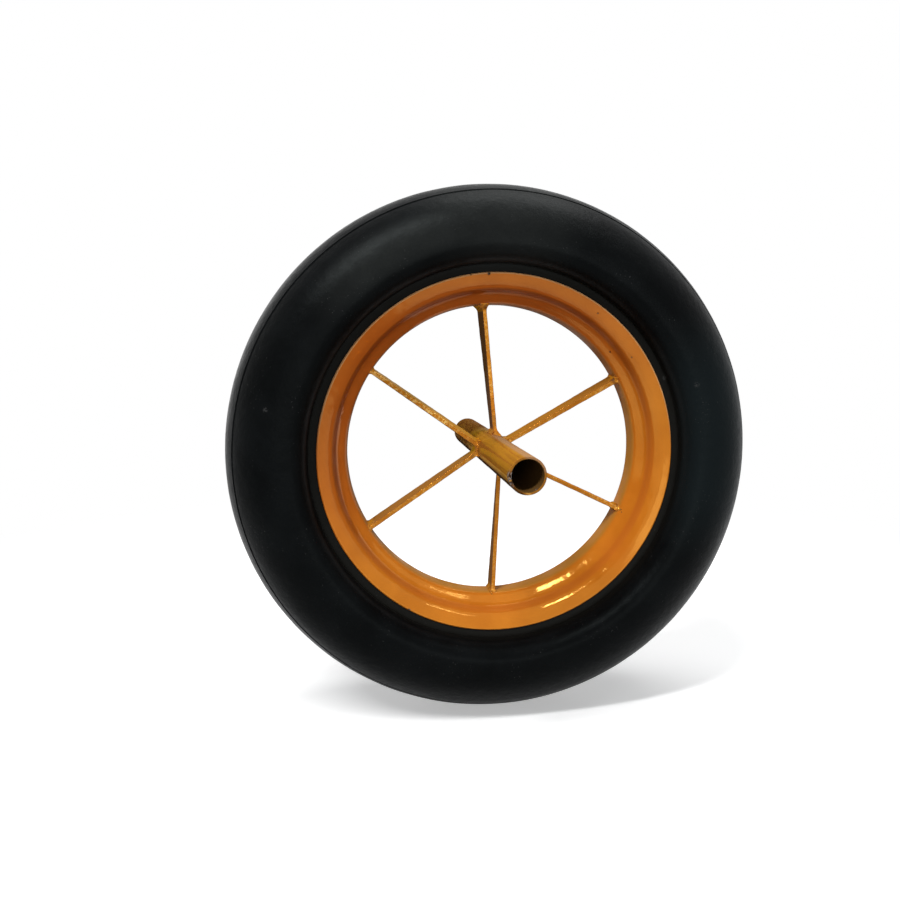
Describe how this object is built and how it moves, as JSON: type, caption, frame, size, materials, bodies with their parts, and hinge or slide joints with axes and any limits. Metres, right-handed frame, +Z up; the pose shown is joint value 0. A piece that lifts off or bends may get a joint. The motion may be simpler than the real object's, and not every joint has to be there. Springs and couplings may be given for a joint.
{
  "type": "wheelbarrow wheel",
  "caption": "Barrow wheel with a solid black rubber tyre on an orange rolled steel rim, flat welded spokes and a long open axle tube.",
  "frame": {"origin": "the wheel's centre, on the axle tube's axis and in the middle plane of the rim", "axes": "+Y along the axle, away from the side that the picture shows; +Z up; +X to the right as seen from -Y"},
  "size_m": [0.35, 0.21, 0.35],
  "materials": {
    "rubber": "moulded black rubber, satin, a little scuffed",
    "orange_paint": "glossy orange enamel over rolled steel, chipped at edges and welds"
  },
  "bodies": {
    "root": {"tyre": "rubber", "rim": "orange_paint", "hub_tube": "orange_paint", "spoke_1": "orange_paint", "spoke_2": "orange_paint", "spoke_3": "orange_paint", "spoke_4": "orange_paint", "spoke_5": "orange_paint", "spoke_6": "orange_paint"}
  },
  "joints": []
}
